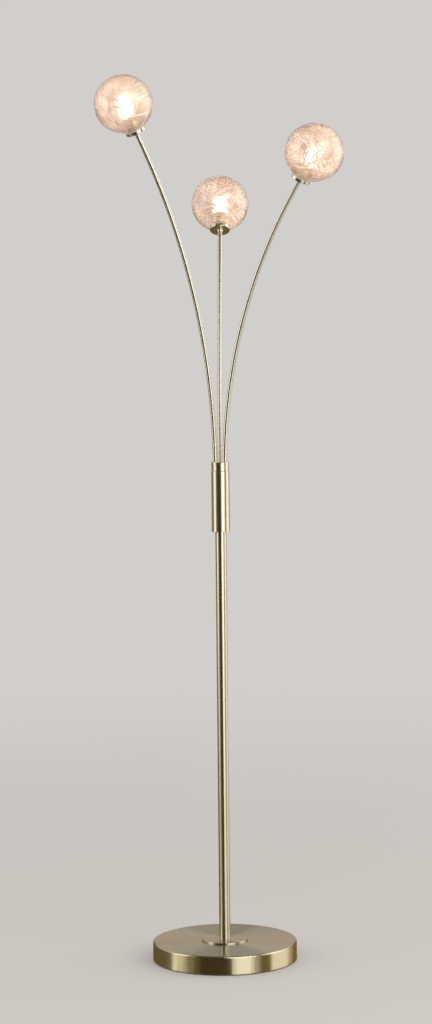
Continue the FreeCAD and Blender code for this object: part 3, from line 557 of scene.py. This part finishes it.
def make_world():
    """A pale background for camera, glossy and transmission rays, and an even fill for the rest."""
    world = bpy.data.worlds.new("studio")
    world.use_nodes = True
    tree = world.node_tree
    tree.nodes.clear()
    rays = put(tree, "ShaderNodeLightPath").outputs
    seen = maths(tree, "ADD", rays["Is Camera Ray"], rays["Is Glossy Ray"])
    seen = maths(tree, "ADD", seen, rays["Is Transmission Ray"])
    seen = maths(tree, "MINIMUM", seen, 1.0)
    colour = blend(tree, seen, FILL, PALE)
    light = put(tree, "ShaderNodeBackground", {"Color": colour, "Strength": 1.0})
    put(tree, "ShaderNodeOutputWorld", {"Surface": light.outputs[0]})
    bpy.context.scene.world = world


def facing(place, target):
    """A matrix at a place whose -Z axis points at a target."""
    turn = (Vector(target) - Vector(place)).to_track_quat("-Z", "Y")
    return Matrix.Translation(place) @ turn.to_matrix().to_4x4()


def round_the_lamp(degrees, distance, height):
    """A point at an angle round the object, 0 towards the camera and 90 to the right."""
    a = math.radians(degrees)
    return Vector((distance * math.sin(a), -distance * math.cos(a), height))


def softbox(name, degrees, distance, height, width, tall, radiance, colour, aim, fills):
    """A soft rectangular lamp of a stated brightness, aimed at a height on the lamp's axis. One
    that doesn't fill shows in gloss alone."""
    data = bpy.data.lights.new(name, "AREA")
    data.shape = "RECTANGLE"
    data.size, data.size_y = width, tall
    data.energy = radiance * math.pi * width * tall
    data.color = colour
    lamp = bpy.data.objects.new(name, data)
    bpy.context.scene.collection.objects.link(lamp)
    lamp.matrix_world = facing(round_the_lamp(degrees, distance, height), (0, 0, aim))
    lamp.visible_camera = False
    lamp.visible_diffuse = fills


def card(name, points, faces, colour):
    """A studio card of a stated brightness that only reflections see."""
    mesh = bpy.data.meshes.new(name)
    mesh.from_pydata([tuple(p) for p in points], [], faces)
    material, tree, shader = new_material(name)
    feed(
        tree, shader, Base_Color=(0.0, 0.0, 0.0, 1.0), Roughness=1.0, Specular_IOR_Level=0.0,
        Emission_Color=(*colour, 1), Emission_Strength=1.0,
    )
    material.cycles.emission_sampling = "NONE"
    mesh.materials.append(material)
    sheet = bpy.data.objects.new(name, mesh)
    bpy.context.scene.collection.objects.link(sheet)
    sheet.visible_camera = sheet.visible_diffuse = sheet.visible_shadow = False
    sheet.visible_transmission = False


def strip_card(name, start, stop, steps, edges, colour):
    """A card that curves from one angle to another, between the two edges given at each angle."""
    points = []
    for i in range(steps + 1):
        points += edges(start + (stop - start) * i / steps)
    faces = [(2 * i, 2 * i + 1, 2 * i + 3, 2 * i + 2) for i in range(steps)]
    card(name, points, faces, colour)


def flag(name, start, stop, distance, high, colour):
    """An upright card that curves round the lamp from one angle to another."""
    def edges(angle):
        foot = round_the_lamp(angle, distance, 0.0)
        return foot, foot + UP * high
    strip_card(name, start, stop, CARD_STEPS, edges, colour)


def ring_card(name, start, stop, inner, outer, height, colour):
    """A level card, a ring or the part of one from one angle to another."""
    def edges(angle):
        return round_the_lamp(angle, inner, height), round_the_lamp(angle, outer, height)
    strip_card(name, start, stop, RING_STEPS, edges, colour)


def fan_card(name, start, stop, reach, colour):
    """A card on the floor, in the strip that the base's side mirrors between two angles."""
    def edges(angle):
        near = round_the_lamp(angle / 2, FAN_START, FAN_HEIGHT)
        return near, near + round_the_lamp(angle, reach, 0.0)
    strip_card(name, start, stop, CARD_STEPS, edges, colour)


# the camera that was fitted to the photograph, in metres and degrees, and in its pixels
CAMERA_TURN = math.radians(1.6)
FOCAL_PIXELS = 3307.02
DISTANCE, HEIGHT = 5.65378, 1.37062
PITCH, YAW, ROLL = (math.radians(a) for a in (5.47619, 0.15824, 0.56931))
CENTRE_U, CENTRE_V = 229.423, 484.650
WIDE, HIGH = 432, 1024
SENSOR = 36.0
CLIP = (0.1, 200.0)


def make_camera():
    """The photograph's view of the lamp."""
    ahead = Vector((math.sin(YAW) * math.cos(PITCH), math.cos(YAW) * math.cos(PITCH),
                    -math.sin(PITCH)))
    right = Vector((math.cos(YAW), -math.sin(YAW), 0))
    down = ahead.cross(right)
    x_axis = right * math.cos(ROLL) + down * math.sin(ROLL)
    y_axis = right * math.sin(ROLL) - down * math.cos(ROLL)
    turn = Matrix((x_axis, y_axis, -ahead)).transposed().to_4x4()
    data = bpy.data.cameras.new("camera")
    data.sensor_width = SENSOR
    data.lens = FOCAL_PIXELS / HIGH * SENSOR
    data.shift_x = (WIDE / 2 - CENTRE_U) / HIGH
    data.shift_y = (CENTRE_V - HIGH / 2) / HIGH
    data.clip_start, data.clip_end = CLIP
    camera = bpy.data.objects.new("camera", data)
    bpy.context.scene.collection.objects.link(camera)
    place = Matrix.Translation((0, -DISTANCE, HEIGHT)) @ turn
    camera.matrix_world = Matrix.Rotation(CAMERA_TURN, 4, "Z") @ place
    bpy.context.scene.camera = camera


make_floor()
make_world()
make_camera()

WHITE, WARM, ROSE = (1.0, 0.99, 0.96), (1.0, 0.95, 0.88), (1.0, 0.90, 0.81)
# angle, distance, height, width, tall, brightness, colour, height aimed at, whether it fills
for name, values in {
    "key": (36, 3.2, 1.45, 2.55, 2.3, 1.35, WHITE, 1.45, True),
    "right_window": (104, 2.6, 1.45, 2.1, 2.3, 0.80, ROSE, 1.45, True),
    "left_window": (-75, 2.8, 1.35, 1.3, 2.3, 1.20, WARM, 1.35, True),
    "key_high": (31, 3.2, 3.1, 2.35, 1.0, 1.5, WHITE, 0.3, False),
    "right_high": (104, 2.6, 3.1, 2.1, 1.0, 1.4, ROSE, 0.3, False),
    "left_high": (-76, 2.8, 3.0, 1.0, 1.0, 1.3, WARM, 0.3, False),
}.items():
    softbox(name, *values)

OLIVE, UMBER, RUSSET = (0.15, 0.115, 0.03), (0.032, 0.022, 0.006), (0.18, 0.12, 0.07)
# first angle, last angle, distance, height, brightness
for name, values in {
    "flag_front": (-46, 12, 3.6, 3.4, UMBER),
    "flag_left": (-64, -44, 3.6, 3.4, (0.34, 0.30, 0.19)),
    "flag_right": (58, 81, 3.6, 3.4, OLIVE),
    "flag_rear_right": (132, 166, 3.4, 1.15, RUSSET),
    "flag_rear_left": (-166, -97, 3.4, 1.15, RUSSET),
    "flag_rear": (166, 194, 3.4, 1.15, (0.58, 0.47, 0.39)),
}.items():
    flag(name, *values)

# first angle, last angle, inner radius, outer radius, height, brightness
for name, values in {
    "flag_floor": (0, 360, 0.0, 1.5, RING_HEIGHT, (0.13, 0.095, 0.035)),
    "flag_floor_far": (-125, 125, 1.5, 3.6, RING_HEIGHT, (0.10, 0.075, 0.03)),
    "flag_ceiling": (0, 360, 0.0, 3.6, 3.8, (0.10, 0.08, 0.05)),
}.items():
    ring_card(name, *values)

# first angle, last angle, reach, brightness
for place, values in enumerate((
    (-180, -93, 3.0, (0.12, 0.09, 0.035)), (-93, -82, 0.45, (0.78, 0.72, 0.46)),
    (-82, -71, 0.45, (0.45, 0.41, 0.22)), (-71, -62, 0.45, (0.24, 0.20, 0.08)),
    (-62, -50, 3.0, (0.17, 0.135, 0.04)), (-50, -38, 3.0, (0.11, 0.08, 0.03)),
    (-38, 13, 3.0, (0.055, 0.038, 0.014)), (14, 21, 3.0, (0.62, 0.58, 0.42)),
    (21, 45, 3.0, (0.88, 0.84, 0.72)), (45, 51, 3.0, (0.52, 0.46, 0.28)),
    (51, 82, 3.0, (0.12, 0.09, 0.025)), (83, 126, 3.0, (0.86, 0.78, 0.62)),
    (126, 142, 3.0, (0.40, 0.31, 0.16)), (142, 180, 1.5, (0.18, 0.13, 0.045)),
)):
    fan_card(f"flag_floor_{place}", *values)

scene = bpy.context.scene
scene.view_settings.view_transform = "Standard"
